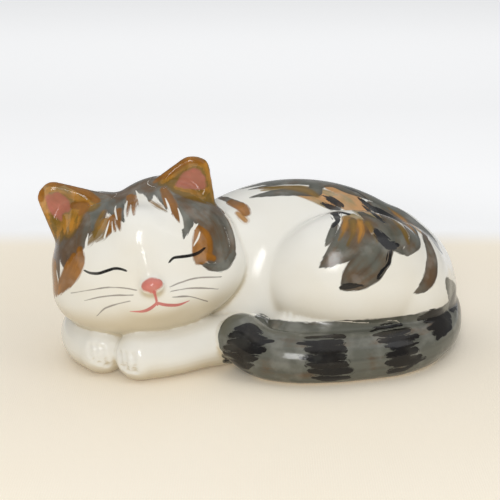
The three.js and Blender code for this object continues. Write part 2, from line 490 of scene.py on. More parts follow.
skin_points = point_places(master)
skin_facings = point_facings(master)
# Crease depth darkens the glaze in creases (partly real pooling, partly painted shade); the next line
# adds painted shade where the skin faces down.
pool_and_shade_depth = np.einsum("ij,ij->i", point_places(blurred) - skin_points, skin_facings)
pool_and_shade_depth += UNDERSIDE_SHADE * np.maximum(UNDERSIDE_SHADE_START - skin_facings[:, 2], 0)
bpy.data.objects.remove(blurred)
skin_tree = KDTree(len(skin_points))
for index, spot in enumerate(skin_points):
    skin_tree.insert(spot, index)
skin_tree.balance()
print("deepest crease", round(float(pool_and_shade_depth.max()), 2), "mm")

# %% [markdown]
# ## The potter's pieces
# The real cat is luted together from separate castings, and the model names them: torso, head,
# ears, forelegs, hind paw and tail. The one skin is cut back into those pieces, so the joins match
# exactly. Each cutting shape is the piece's own lump or coil, grown by about a millimetre, so
# that the cut runs just outside the crease.

# %% Cutting tools
CUT_GROWTH = 1.1


def cut_out(name, block, tool):
    piece = twin(block, name)
    apply(piece, "BOOLEAN", operation="INTERSECT", object=tool, solver="MANIFOLD")
    apply(block, "BOOLEAN", operation="DIFFERENCE", object=tool, solver="MANIFOLD")
    bpy.data.objects.remove(tool)
    print(name, len(piece.data.polygons), "faces")
    return piece


def limb_tool(line):
    return press("limb_tool", 0, coil("limb_form", line, CUT_GROWTH))


# %% Cut the pieces
skin = feel(master)
apply(head_form, "DISPLACE", strength=CUT_GROWTH * mm, mid_level=0)
for form in ear_forms:
    apply(form, "DISPLACE", strength=CUT_GROWTH * mm, mid_level=0)
head_piece = cut_out("head_glazed", master, head_form)
pieces = {
    "head_casting": head_piece,
    "left_ear": cut_out("left_ear_glazed", head_piece, ear_forms[0]),
    "right_ear": cut_out("right_ear_glazed", head_piece, ear_forms[1]),
    "tail_casting": cut_out("tail_glazed", master, limb_tool(tail_line[1:])),
    "left_foreleg": cut_out("left_foreleg_glazed", master, limb_tool(left_foreleg_line)),
    "right_foreleg": cut_out("right_foreleg_glazed", master, limb_tool(right_foreleg_line)),
    "hind_paw": cut_out("hind_paw_glazed", master, limb_tool(hind_paw_line)),
}
pieces["torso_casting"] = master
master.name = "torso_glazed"

# %% [markdown]
# ## The hollow and its vent
# A thick lump of clay would crack in the kiln, so the torso is hollow, and a round hole in its foot
# lets the air out. The hollow is a smaller copy of the trunk, cut level above the foot. The hole is
# bored from below, and its edge is rounded with a wet sponge.

# %% Hollow out
WALL = 6
VENT_RADIUS = 9
VENT_ROUNDING = 1.2
vent_place = Vector((19.3, 7.6)) * mm

hollow = lump("hollow", near("torso_casting", 4, 2, -30.5), (85 - WALL, 50 - WALL, 74 - WALL))
bpy.ops.object.mode_set(mode="EDIT")
bpy.ops.mesh.select_all(action="SELECT")
bpy.ops.mesh.bisect(
    plane_co=(0, 0, foot_height + WALL * mm), plane_no=(0, 0, 1), use_fill=True, clear_inner=True
)
bpy.ops.object.mode_set(mode="OBJECT")
bpy.ops.object.select_all(action="DESELECT")
bpy.ops.mesh.primitive_cylinder_add(
    vertices=64, radius=VENT_RADIUS * mm, depth=30 * mm, location=(*vent_place, foot_height)
)
drill = bake_place(bpy.context.object)
bpy.ops.object.mode_set(mode="EDIT")
bpy.ops.mesh.select_all(action="SELECT")
bpy.ops.mesh.bisect(
    plane_co=(0, 0, foot_height + VENT_ROUNDING * mm), plane_no=(0, 0, 1), clear_inner=True
)
bpy.ops.mesh.select_all(action="DESELECT")
bpy.ops.object.mode_set(mode="OBJECT")
low_edge = foot_height + (VENT_ROUNDING + 0.01) * mm
for edge in drill.data.edges:
    edge.select = all(drill.data.vertices[v].co.z < low_edge for v in edge.vertices)
bpy.ops.object.mode_set(mode="EDIT")
ROUNDING_STEPS = 6
for step in range(1, ROUNDING_STEPS + 1):
    angle = math.pi / 2 * step / ROUNDING_STEPS
    last = math.pi / 2 * (step - 1) / ROUNDING_STEPS
    fall = VENT_ROUNDING * (math.sin(angle) - math.sin(last))
    flare = VENT_ROUNDING * (math.cos(last) - math.cos(angle))
    reach = VENT_RADIUS + VENT_ROUNDING * (1 - math.cos(last))
    bpy.ops.mesh.extrude_region_move(TRANSFORM_OT_translate={"value": (0, 0, -fall * mm)})
    bpy.ops.transform.resize(
        value=(1 + flare / reach, 1 + flare / reach, 1),
        center_override=(*vent_place, foot_height),
    )
bpy.ops.mesh.extrude_region_move(TRANSFORM_OT_translate={"value": (0, 0, -mm)})
bpy.ops.mesh.edge_face_add()
bpy.ops.mesh.select_all(action="SELECT")
bpy.ops.mesh.normals_make_consistent(inside=False)
bpy.ops.object.mode_set(mode="OBJECT")
for tool in (hollow, drill):
    apply(master, "BOOLEAN", operation="DIFFERENCE", object=tool, solver="MANIFOLD")
    bpy.data.objects.remove(tool)
print("vent", 2 * VENT_RADIUS, "mm across")

# %% [markdown]
# ## Felt pads
# Four small felt discs under the foot keep the bare clay off the table. Each is punched from sheet
# felt, so its edge is a little rounded.

# %% Felt pads
PAD_EDGE = 0.3
felt_pads = []
for number in range(1, 5):
    node = f"felt_pad_{number}"
    low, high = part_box(node)
    bpy.ops.object.select_all(action="DESELECT")
    bpy.ops.mesh.primitive_cylinder_add(
        vertices=64,
        radius=(high.x - low.x) / 2,
        depth=high.z - low.z,
        end_fill_type="TRIFAN",
        location=(low + high) / 2,
    )
    pad = bake_place(bpy.context.object)
    pad.name = node + "_cloth"
    bpy.ops.object.mode_set(mode="EDIT")
    bpy.ops.mesh.select_all(action="DESELECT")
    bpy.ops.object.mode_set(mode="OBJECT")
    middle = (low + high) / 2
    rim = (high.x - low.x) / 2 * 0.95
    for edge in pad.data.edges:
        ends = [pad.data.vertices[v].co for v in edge.vertices]
        level = abs(ends[0].z - ends[1].z) < 0.01 * mm
        edge.select = level and all((end - middle).xy.length > rim for end in ends)
    bpy.ops.object.mode_set(mode="EDIT")
    bpy.ops.mesh.bevel(offset=PAD_EDGE * mm, segments=4, affect="EDGES")
    bpy.ops.object.mode_set(mode="OBJECT")
    felt_pads.append(pad)
    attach(pad, "root")
    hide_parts(node)
print(len(felt_pads), "felt pads")

# %% [markdown]
# ## Brush strokes
# The coat is painted under the glaze with a soft round brush. A stroke here is a line of points on
# a pane of glass, each with the brush's width there, and `tone` picks between the two ends of the
# paint's colour. The strokes are kept on a tray for each paint, and only later does each piece of
# clay measure itself against them.

# %% The brush
PAINTS = ("ochre", "grey", "amber", "rust", "dark", "bare", "pink", "lip", "ink", "whisker")
GRIP = 0.35  # how squarely the clay must face a stroke before it takes the paint
trays = {paint: [] for paint in PAINTS}


def brush(paint, view, tone, *lines, grip=GRIP):
    for line in lines:
        path = round_line(line)
        places, facings = through(view, path)
        trays[paint].append((places, facings, np.maximum(path[:, 2], 0.1) / 2, tone, grip))


def along_tail(start, end, angle, width, tone):
    """A brush line along the tail, between two parts of its length, turned round its middle."""
    path = round_line(tail_line)
    path = path[int(start * len(path)):int(end * len(path)) + 1]
    places, facings = [], []
    for here, after in zip(path, path[1:]):
        run = Vector(after[:3] - here[:3]).normalized()
        side = run.cross(Vector((0, 0, 1))).normalized()
        out = side * math.cos(angle) + side.cross(run) * math.sin(angle)
        place, facing, _, _ = skin.find_nearest((Vector(here[:3]) + out * here[3]) * mm)
        places.append(place / mm)
        facings.append(facing)
    return np.array(places), np.array(facings), np.full(len(places), width / 2), tone, GRIP


# %% [markdown]
# ## The cap on the head
# The cap is a calico pattern: slate and brown strokes fall from the crown to the brow and the right
# temple, with rusty tips under them. The fringe is left ragged, and thin bare lines are scratched
# through it to the white.

# %% Cap: slate and brown
brush("grey", front, 0.85,
      [(-93, 26, 14), (-98, 14, 15), (-106, 2, 13)],
      [(-98.5, 30, 11), (-102, 15, 11), (-109, 1, 11)],
      [(-92, 30, 10), (-96, 16.5, 10), (-101, 4, 9)],
      [(-111.5, 9, 9), (-110.5, -3, 8), (-109.5, -10.5, 2.5)],
      [(-115, 3, 8), (-114, -9, 5), (-113, -18.5, 1)],
      [(-105.5, 6, 9), (-106, -1, 6), (-107.5, -7.5, 2)])
brush("grey", front, 0.85,
      [(-114, 16, 12), (-117, 4, 20), (-118.5, -8, 20), (-118, -20, 10)],
      grip=0)
brush("grey", front, 0.3,
      [(-92, 36, 8), (-74, 38, 9), (-58, 42, 9), (-48, 44, 8)],
      [(-88, 30, 9), (-78, 31, 9), (-70, 34, 8)],
      [(-64, 36, 7), (-54, 36, 9), (-44, 34, 9)])
brush("grey", front, 0.15,
      [(-89, 32, 12), (-90, 20, 10), (-92.5, 7.5, 1)],
      [(-82, 33, 12), (-79.5, 25, 10), (-74.8, 17, 1)],
      [(-74.5, 35.5, 11), (-72.5, 31, 8), (-70.5, 26.5, 2)],
      [(-66.5, 38, 9), (-60.5, 36, 8), (-59.5, 29, 1)],
      [(-59.5, 40, 10), (-53.5, 35.5, 9), (-49.5, 24.5, 1)],
      [(-50.5, 38, 10), (-44, 29.5, 10), (-40, 20, 8)],
      [(-41, 27, 9), (-37.5, 16.5, 7.5), (-39.2, 7, 0.8)])
brush("grey", front, 0.6,
      [(-44, 38, 12), (-34, 32, 12), (-24, 28, 10), (-18, 24, 8)],
      [(-38, 30, 12), (-26, 18, 16), (-18, 6, 15), (-17, -3, 11)],
      [(-41.5, 34.5, 12), (-30, 25, 14), (-21, 15, 14), (-17, 3, 12), (-17, -5, 9)],
      [(-32.5, 30, 10), (-19, 22.5, 9.5), (-12.3, 12, 8), (-10.2, 1.5, 5.5), (-13, -6.5, 5)],
      [(-38, 27, 9), (-32, 21, 9), (-27.5, 16.5, 8)],
      [(-24, 13, 8), (-21.5, 3, 8), (-22.5, -4.5, 7)])
brush("grey", front, 0.2,
      [(-30, -7.5, 1), (-22.5, -10.2, 4), (-14.5, -9, 5), (-9.2, -2, 3)])

# %% Cap: rust and ochre tips
brush("rust", front, 0.3,
      [(-101, 0, 4), (-101.3, -7, 7), (-105.5, -15, 8), (-111.5, -24, 3)],
      [(-104.5, -4.5, 5), (-108, -13, 8), (-112, -21.5, 7), (-114.3, -26.3, 1.2)],
      [(-117, -7, 6), (-118, -17, 12), (-116.5, -25, 7)],
      [(-82, 19, 5), (-83, 13, 5), (-85.3, 8.3, 1.5)],
      [(-78.3, 23.5, 4), (-78, 16.5, 3.5), (-77, 12, 0.8)],
      [(-81.2, 16.5, 2.5), (-80, 11.3, 0.8)],
      [(-71.2, 32, 4), (-72.3, 26, 2.5), (-73, 20, 0.6)],
      [(-69.4, 31.5, 4), (-69.3, 26, 3), (-68.8, 21, 0.6)],
      [(-67, 30, 1.8), (-65.8, 26, 0.8)],
      [(-51, 35.5, 4), (-47, 27.5, 7), (-42.8, 17.8, 1)],
      [(-46.5, 27, 4), (-43.5, 22, 4), (-42, 17, 0.8)])
brush("rust", front, 0.3,
      [(-30.2, 13, 4), (-28, 6, 12), (-28.5, -2, 11), (-31, -7, 3)],
      [(-26, -3, 5), (-21.5, -5, 3)])
brush("amber", front, 0.2,
      [(-87, 22.5, 3), (-90.5, 15, 3), (-92.5, 9, 1)],
      [(-86.5, 16.5, 7), (-90, 10.5, 7), (-96, 4, 2.5)],
      [(-84, 12, 5), (-87, 8, 3), (-91, 5.5, 1.5)],
      [(-59, 29, 1), (-54.5, 26, 3.2), (-49.8, 23, 1)])

# %% Fringe: bare scratches
brush("bare", front, 0.5,
      [(-97.4, -1, 0.8), (-97, 4.7, 1.7), (-95.9, 9.5, 0.5)],
      [(-86.3, 7.5, 1), (-84.8, 12.5, 1.1), (-83.6, 17, 0.4)],
      [(-81.5, 11.5, 0.8), (-81.8, 16.5, 0.4)],
      [(-78.9, 18.2, 0.7), (-80, 23, 1), (-79.6, 26, 0.4)],
      [(-73.6, 18, 0.8), (-74.1, 23.5, 1.5), (-72.9, 29, 0.5)],
      [(-70.9, 20.8, 0.7), (-70.6, 26.7, 0.4)],
      [(-63, 26, 5), (-65.2, 30.2, 2.5), (-67.6, 35, 0.5)],
      [(-47.3, 22, 1.6), (-48.6, 26.7, 1.2), (-50.1, 30.5, 0.5)],
      [(-40.3, 13.5, 2), (-41, 19.6, 1.6), (-42.7, 24.5, 0.6)],
      [(-36, 7.8, 1.6), (-33.8, 12.5, 1.9), (-31.2, 15.2, 0.8)],
      [(-33.2, 3, 0.6), (-30.8, 7, 1.1), (-29.8, 10.3, 0.7)])

# %% [markdown]
# ## The ears
# Inside, each ear is pink. Its soft rim is washed with ochre, and the outer edge is touched with
# rust.

# %% Ears
brush("amber", front, 0.1,
      [(-119, 38, 12), (-112, 36, 14), (-102, 31, 16), (-94, 27, 10)],
      [(-121, 32, 14), (-118, 20, 16), (-113, 9, 10)],
      [(-112, 30, 16), (-108, 20, 18), (-107, 12, 11)],
      [(-52, 41, 6), (-44, 46, 11), (-36, 50, 12), (-28, 50, 12)],
      [(-42, 38, 12), (-32, 42, 18), (-26, 42, 14)],
      [(-27, 50, 10), (-23.5, 40, 12), (-22, 30, 8)],
      [(-47, 39, 6), (-38, 34, 8), (-28, 31, 8), (-23, 32, 6)])
brush("rust", front, 0.35,
      [(-124.5, 31, 5), (-123.5, 37.5, 5), (-118.5, 40, 5), (-109, 39, 5), (-99.5, 35.5, 5),
       (-91, 29.5, 4)],
      [(-105, 26.5, 4), (-98, 26, 5.5), (-101, 21, 2)],
      [(-56.5, 40.5, 2), (-50.5, 45, 5), (-42.5, 50.5, 5), (-35.5, 53.5, 4), (-28, 52.5, 3)])
brush("amber", front, 0.6,
      [(-121.5, 29.5, 3), (-120, 35.5, 3), (-112.5, 36, 4.5), (-104.5, 32, 5), (-95.5, 27, 4)],
      [(-124, 30, 3.5), (-121, 20, 4), (-116.8, 9, 3.5)],
      [(-112.5, 16.5, 5), (-114, 7, 2)],
      [(-109, 19, 5), (-110, 9.5, 1.5)],
      [(-104.5, 22.5, 5), (-106.5, 12, 1.5)],
      [(-99.5, 23.5, 4), (-102.5, 13, 1)],
      [(-52, 40.5, 3), (-46.5, 44.5, 4), (-39, 49.5, 4), (-32, 52, 4), (-26.5, 50, 4)],
      [(-27, 50.5, 3), (-24.3, 44, 3.5), (-23, 37, 4), (-22, 29.5, 2)],
      [(-43.5, 37, 3), (-35.5, 35, 3.5), (-29.5, 32.5, 5), (-25.5, 35.5, 4)])
brush("pink", front, 0.2,
      [(-119, 31, 4), (-115, 25, 8), (-112, 18, 1.5)],
      [(-114.5, 31.5, 6), (-110, 27.5, 6), (-108, 24, 3)],
      [(-117, 28.5, 6), (-111.5, 24.5, 7)],
      [(-42, 38.5, 3.5), (-36.5, 42.5, 8), (-31.5, 45.5, 5)],
      [(-39, 38.5, 4.5), (-32.5, 39.8, 7.5), (-28.5, 38.5, 4.5)],
      [(-33, 45.5, 6), (-29.5, 42, 6)])

# %% [markdown]
# ## The face
# The nose is one dab of pink, and the mouth two curved rosy strokes that meet under it. The closed
# eyes are single strokes of black with a fine brush, pressed hardest in the middle. The whiskers
# are drawn last with an almost dry brush.

# %% Face
brush("pink", front, 0.85,
      [(-62.3, -21.5, 5.5), (-58.2, -20.4, 8), (-54, -19.5, 5.5)],
      [(-59, -22.5, 6), (-57, -25, 2.5)])
brush("lip", front, 0.5,
      [(-56.8, -25, 1.7), (-55.8, -28.5, 1.3), (-55.1, -31.4, 1.4)],
      [(-55.1, -31.4, 1.4), (-58.7, -34.4, 1.9), (-63.5, -36.4, 1.7), (-71.2, -36.5, 0.3)],
      [(-55.1, -31.4, 1.4), (-49.8, -32.6, 1.9), (-42.7, -32.6, 1.8), (-36.2, -30.2, 0.4)])
brush("ink", front, 0.5,
      [(-98, -12.2, 1), (-95, -13.6, 1.4), (-90, -13.9, 1.6), (-85.3, -12.5, 1.6),
       (-80.6, -11, 1.5), (-77, -11.2, 1.4), (-73.8, -12.2, 1.2)],
      [(-47.7, -7, 1.1), (-45.4, -4.7, 1.4), (-41.5, -4.1, 1.6), (-35.6, -3.3, 1.7),
       (-30.8, -1.8, 1.8), (-27, 1, 1.3)])
brush("whisker", front, 0.5,
      [(-67.6, -23.7, 0.7), (-74.7, -22.5, 0.6), (-84.2, -22.2, 0.6), (-95, -23.7, 0.5),
       (-106, -25.6, 0.2)],
      [(-69.4, -26.7, 0.5), (-80, -27, 0.7), (-89, -27.9, 0.6), (-98, -30, 0.2)],
      [(-71.2, -30.3, 0.3), (-80.6, -32.6, 0.7), (-86.6, -35, 0.6), (-90.7, -39, 0.2)],
      [(-47.4, -21.9, 0.4), (-41.5, -19.3, 0.7), (-30.8, -16.6, 0.7), (-17.2, -16, 0.5)],
      [(-46.8, -24.6, 0.3), (-36.8, -22.8, 0.6), (-29.7, -22.5, 0.8), (-19, -23.1, 0.4)],
      [(-45.7, -27.9, 0.3), (-39, -27.6, 0.8), (-34.4, -27.9, 0.5), (-25.5, -30.5, 0.6)])

# %% [markdown]
# ## The back and the haunch
# A long slate stroke follows the spine. Below it lie ochre and orange washes with near-black
# flecks, and leaf-shaped grey strokes hang down over the haunch, each ending in a point.

# %% Spine
brush("grey", front, 0.1,
      [(-6.5, 36.8, 0.6), (3.5, 40.5, 3), (17.8, 43, 6), (32.6, 43.5, 8), (46, 41, 8), (58, 37.5, 7)],
      [(-0.6, 35.8, 0.5), (4.7, 36.9, 2.2), (10.7, 38, 2), (20.8, 39, 1)],
      [(46, 41.5, 3), (60.5, 38, 5), (72.3, 31.8, 6), (84.2, 25, 6), (92.5, 19.5, 3)])
brush("ochre", front, 0.35,
      [(9, 37, 2), (29.6, 36.5, 6), (44.5, 33, 9), (59.3, 27, 12), (74, 19.5, 13), (86, 12, 9)],
      [(62, 36, 6), (78, 27, 7), (92, 18, 6), (102, 10, 4)],
      [(7, 35.4, 1), (17.8, 36, 4), (29.6, 34, 6), (40.3, 29.6, 6), (47.4, 25, 2.5)])
brush("grey", front, 0.6,
      [(66, 22, 4), (73, 17, 8), (80, 10, 9), (84, 3, 6)],
      [(72, 27, 6), (82, 18.5, 9), (88, 9, 10), (88, 2, 6)])
brush("amber", front, -0.1,
      [(6, 36.6, 2), (20, 37.2, 4), (32, 35.8, 6), (40, 32, 3)])
brush("ochre", front, 0.85,
      [(47.4, 37.2, 7), (56.3, 33.8, 11), (64, 28.5, 10), (70, 23, 4)],
      [(52.2, 29.6, 8), (59.3, 25, 7), (70, 22, 3)],
      [(42.5, 31.5, 6), (48.6, 26.7, 5)],
      [(84, 23.8, 3), (92, 18.2, 3.8), (99.6, 12.3, 3.2), (104.5, 7, 1.5)],
      [(77, 15, 4), (83, 9.5, 3)])
brush("ochre", front, 0.3,
      [(60.5, 20.2, 6), (65.2, 16.6, 8), (70, 12, 5)],
      [(57, 19, 5), (58, 13, 4)])

brush("grey", front, 0.15,
      [(-6, 36, 1), (4, 38.6, 5), (12, 40.2, 10), (29, 41.4, 16), (47, 40.3, 18), (59, 36.6, 18),
       (72, 31.8, 16), (85, 24.8, 14), (98, 15.9, 12), (107, 7.9, 10), (113, -0.5, 5)],
      grip=-0.2)
brush("ochre", front, 0.85,
      [(84, 23.8, 3), (92, 18.2, 3.8), (99.6, 12.3, 3.2), (104.5, 7, 1.5)])

# %% Near-black flecks
brush("dark", front, 0.2,
      [(43.3, 32, 1), (48.6, 29.8, 4), (53.4, 26.5, 4)],
      [(42.7, 27.9, 0.8), (47.4, 25.5, 3.5), (52.2, 24.3, 3)],
      [(46.3, 21.9, 1), (52.2, 22.5, 3.6), (58.7, 21.3, 0.8)],
      [(49.8, 21.9, 4), (52.2, 17.8, 3.6), (49.2, 14.2, 1.5)],
      [(64, 31, 1), (72.3, 25, 4.5), (81.8, 20.8, 5.5), (89, 16.6, 2)],
      [(56.5, 37.2, 0.8), (64, 34, 1.2), (70, 29.6, 0.8)],
      [(66.4, 26.7, 0.8), (73.5, 21.3, 3), (79.5, 16.6, 2.5)],
      [(74.7, 11, 3.5), (79.5, 5.5, 6), (83, 2.6, 5), (87.3, 3, 3)])

# %% Grey leaves on the haunch
brush("grey", front, 0.3,
      [(76, 26, 8), (86, 20, 12), (95, 12, 12), (98, 5, 9), (93, -1, 5)],
      [(80, 28, 8), (90, 21, 8), (100.8, 14, 8)],
      [(59.3, 16.6, 8), (56.3, 6, 12), (48.6, -4.7, 9), (41.3, -10.2, 0.8)],
      [(50.4, 15, 4), (47.4, 7, 4.5), (44.8, 2.5, 0.8)],
      [(66.4, 15, 8), (65.2, 6, 10), (56.3, -3.6, 7), (47.4, -7.7, 1)],
      [(68.2, 9, 7), (72.3, 3, 7), (69, 0, 5)],
      [(76, 6, 8), (70, -3, 11), (60.5, -13, 9), (56, -20, 4)],
      [(82, 6, 7), (80.6, -3, 8), (74, -13, 10), (64, -19.8, 8), (54, -22.8, 2)],
      [(84.2, 16.6, 8), (90, 10.7, 8), (91.9, 4.5, 5)],
      [(86, 0.3, 2), (91.9, -1, 3.5), (97.8, 3, 3.5), (99, 7, 2)])
brush("grey", front, 0.7,
      [(103, 10, 4), (107.5, -2, 8), (107.6, -13, 9.5), (103.8, -21, 7), (97, -25.7, 0.6)])
brush("amber", front, 0.5,
      [(57.5, 19, 4), (56, 13, 2.5), (53, 6, 0.6)],
      [(65, 17, 4), (66, 11, 3), (64, 5, 0.6)],
      [(82, 25, 2), (91, 18, 4), (98, 10, 1.5)])
brush("amber", front, -0.3,
      [(61, 17, 5), (61, 10, 3), (58, 3, 0.8)],
      [(70, 16, 4), (74, 9, 2), (75, 5, 0.6)],
      [(84, 19, 4), (91, 12, 5), (94, 4, 1.5)])
brush("dark", front, 0.4,
      [(83.6, 0, 1.5), (81.6, -8.3, 2.4), (76, -15.6, 1.4)],
      [(54, -22, 1.5), (59.3, -21.6, 3.2), (66.5, -20.6, 1)])

# %% Shoulder patch
brush("grey", front, 0.5, [(-20.5, 32, 2), (-12, 29.3, 4), (-6, 26.3, 5)])
brush("rust", front, 0.1,
      [(-12, 28.6, 4), (-4.7, 25, 6.5), (-2.4, 21.9, 5)])
brush("amber", front, 0.8,
      [(-7, 22, 3), (-5, 20, 4), (-2.6, 17.5, 3)])

# %% [markdown]
# ## The tail
# The tail gets an all-over wash of grey-green, laid along it in long strokes right round. Then
# come the dark rings, each built from short strokes laid side by side, so that their ends stay
# ragged. The rings on the far side are laid from the tail's own line.

# %% Tail wash
TAIL_WASH = 14
WASH_WIDTH = 9
WASH_START = 0.19  # the share of the tail's line that lies hidden in the rump
for turn in range(TAIL_WASH):
    tone = -0.3 + 0.2 * (turn % 3)
    trays["grey"].append(along_tail(WASH_START, 1, 2 * math.pi * turn / TAIL_WASH, WASH_WIDTH, tone))
brush("grey", front, -0.2,
      [(-12, -50, 16), (-6, -44, 12)],
      [(117, -19, 6), (121, -30, 18), (119, -42, 14)],
      [(-5, -39.5, 7), (4, -42, 6), (12, -47.5, 4)],
      [(-17, -58, 4), (-17, -50, 7), (-12.5, -42, 9), (-4, -38.5, 8), (4, -41, 6)],
      [(-12, -66, 3), (-13.5, -58, 7), (-11, -48, 9)])

# %% Tail rings
brush("dark", front, 0.7,
      [(-8.3, -46.8, 2), (0, -45.4, 5), (7.1, -49, 1)],
      [(-11.3, -50.4, 3), (-1.2, -49.8, 6), (9.5, -52.8, 1)],
      [(-12.5, -54.6, 3), (0, -54.6, 6), (13.6, -54, 1)],
      [(-14.8, -58, 3), (-3, -59.3, 6), (8.3, -59.3, 3)],
      [(-15.4, -61, 2), (-4.7, -64, 6), (3.6, -64, 2)],
      [(-13, -65.2, 3), (-4.7, -68.2, 6), (1.2, -68.8, 2)],
      [(-8.3, -69.4, 3), (-3, -72, 4), (1.2, -73.5, 1)],
      [(33.2, -52, 1.5), (42.7, -51.5, 3), (54.6, -51, 3.5)],
      [(28.5, -55, 1), (41.5, -55.7, 5), (54, -54.6, 3)],
      [(33.8, -59.3, 3), (44.5, -59.3, 6), (55, -58.7, 4)],
      [(30.2, -63.5, 1), (41.5, -64.6, 5), (54.6, -63.5, 4)],
      [(34.4, -67.6, 2), (44.5, -68.2, 5), (56.3, -67.6, 4)],
      [(35.6, -71.8, 2), (46.3, -72.3, 5), (59.3, -71.8, 4)],
      [(37.4, -75.5, 2), (47.4, -76.5, 5), (58, -75.5, 2)],
      [(71.8, -48, 1), (80, -45.7, 4), (89, -44.5, 2)],
      [(73.5, -50.4, 1), (84.2, -49.2, 6), (93.7, -47.4, 4)],
      [(77, -54, 2), (86.6, -54, 6), (99, -51, 3)],
      [(80.6, -57, 1), (89, -57.5, 4), (99.6, -54.6, 1)],
      [(81.8, -63, 2), (89, -61.7, 5), (98.4, -59.3, 4)],
      [(81.8, -67.6, 3), (90, -66.4, 6), (100.8, -63.5, 3)],
      [(83, -72, 3), (90.7, -71, 4), (96, -68.5, 2)],
      [(95, -68, 3), (103.8, -64, 0.8)],
      [(100.2, -40.5, 1.5), (106.7, -38.2, 5), (113.3, -36.2, 3)],
      [(103.8, -43, 1), (110.3, -40.3, 6), (117.4, -38.5, 5)],
      [(106, -46.8, 2), (112.7, -44, 6), (118, -41.5, 5)],
      [(109, -49.8, 2), (113.3, -48, 6), (118.6, -45, 4)],
      [(111, -52.4, 2), (113.3, -50.8, 2.5)])
RING_STROKES = 12
RING_WIDTH = 8
RING_SLIP = 0.012  # how unevenly the strokes of a ring begin and end
ring_dice = np.random.default_rng(7)
for start, end in ((0.30, 0.35), (0.21, 0.26)):
    for turn in range(RING_STROKES):
        slip, more = ring_dice.uniform(-RING_SLIP, RING_SLIP, 2)
        angle = 2 * math.pi * turn / RING_STROKES
        trays["dark"].append(along_tail(start + slip, end + more, angle, RING_WIDTH, 0.5))
print(len(trays["dark"]), "near-black strokes so far")

# %% [markdown]
# ## The far side
# The calico goes on round the back: the cap covers the right temple, the back of the head and both
# ears, the spine stroke has a lower edge of its own, and a few leaves hang over the other hip.

# %% Strokes from above, behind and the side
brush("grey", above, 0.55,
      [(-100, -30, 14), (-96, -14, 15), (-84, 0, 14)],
      [(-88, -34, 14), (-82, -16, 16), (-70, 0, 14)],
      [(-74, -34, 14), (-68, -14, 16), (-56, 2, 14)],
      [(-60, -32, 14), (-54, -14, 16), (-44, 0, 14)],
      [(-46, -32, 12), (-40, -16, 16), (-32, -4, 12)],
      [(-32, -36, 10), (-24, -24, 12), (-20, -14, 8)],
      grip=0.55)
brush("grey", temple_side, 0.8,
      [(30, 12, 20), (30, -4, 24), (28, -16, 12)],
      [(10, 12, 20), (8, -4, 20), (10, -15, 4)],
      [(46, 8, 16), (48, -4, 16), (48, -13, 8)],
      [(58, 2, 10), (59, -8, 8), (58, -16, 3)],
      grip=0)
brush("rust", temple_side, 0.2,
      [(36, -12, 9), (40, -20, 12), (42, -29, 6)],
      [(48, -12, 10), (51, -21, 14), (53, -31, 8)],
      [(57, -16, 10), (60, -25, 8), (61, -32, 3)],
      grip=0)
brush("grey", back, 0.3,
      [(62, 50, 14), (64, 36, 16), (60, 20, 14), (56, 8, 3)],
      [(76, 46, 14), (80, 30, 16), (78, 14, 12), (74, 2, 2)],
      [(92, 38, 14), (94, 24, 14), (92, 10, 10), (90, 0, 1)],
      [(104, 32, 12), (106, 18, 12), (104, 4, 8), (102, -6, 1)],
      [(46, 52, 12), (46, 38, 12), (42, 26, 8), (38, 16, 2)],
      [(30, 50, 10), (30, 38, 10), (26, 26, 4)],
      grip=0.55)
brush("amber", back, 0.3,
      [(42, 52, 12), (35, 62, 16), (30, 71, 10)],
      [(26, 50, 10), (26, 60, 12), (28, 70, 8)],
      [(94, 44, 12), (106, 48, 16), (120, 56, 10)],
      [(112, 32, 14), (116, 42, 16), (121, 54, 10)],
      grip=0)
brush("rust", back, 0.4,
      [(69, 26, 5), (70, 14, 7), (67, 3, 1)],
      [(98, 12, 5), (98, 2, 6), (96, -8, 1)],
      [(118, 40, 6), (112, 42, 7), (104, 40, 6)],
      [(38, 58, 6), (34, 52, 8), (34, 44, 6)],
      grip=0.55)
brush("grey", back, 0.15,
      [(0, 37, 1), (-12, 40, 5), (-30, 41, 8), (-48, 38, 8), (-64, 34, 8), (-80, 26, 8), (-94, 16, 4)],
      [(-20, 36, 2), (-34, 34, 7), (-48, 30, 6), (-58, 24, 1)],
      [(-58, 30, 8), (-62, 16, 12), (-56, 2, 9), (-48, -8, 1)],
      [(-72, 26, 8), (-78, 12, 12), (-76, -4, 10), (-68, -16, 1)],
      [(-90, 14, 5), (-98, 2, 8), (-98, -12, 7), (-92, -20, 1)],
      grip=0.55)
brush("ochre", back, 0.7,
      [(-40, 33, 4), (-52, 30, 8), (-64, 24, 8), (-72, 18, 3)],
      [(-82, 22, 4), (-90, 12, 6), (-94, 4, 2)],
      grip=0.55)
brush("dark", back, 0.3,
      [(-50, 26, 1), (-58, 22, 4), (-66, 20, 1)],
      [(-66, 14, 2), (-72, 6, 5), (-74, -2, 1)],
      [(-84, 12, 1), (-90, 4, 3), (-90, -4, 1)],
      grip=0.55)
print({paint: len(tray) for paint, tray in trays.items()})

# %% [markdown]
# ## Measuring the strokes on the clay
# Every point of the skin now learns how far it is from the edge of the nearest stroke of each
# paint, how far along the stroke it lies, and how far across. These numbers are stored on the
# mesh, so the paint stays fixed to the clay however the piece is turned. A stroke only marks clay
# that faces the same way as the clay it was laid on, so it doesn't soak through a thin ear.

# %% Distances
UNPAINTED = 60.0
SPREAD = 5.0  # how far past a stroke's edge it is still measured
STROKE_GAP = 31.7  # keeps the hair marks of one stroke apart from those of the next


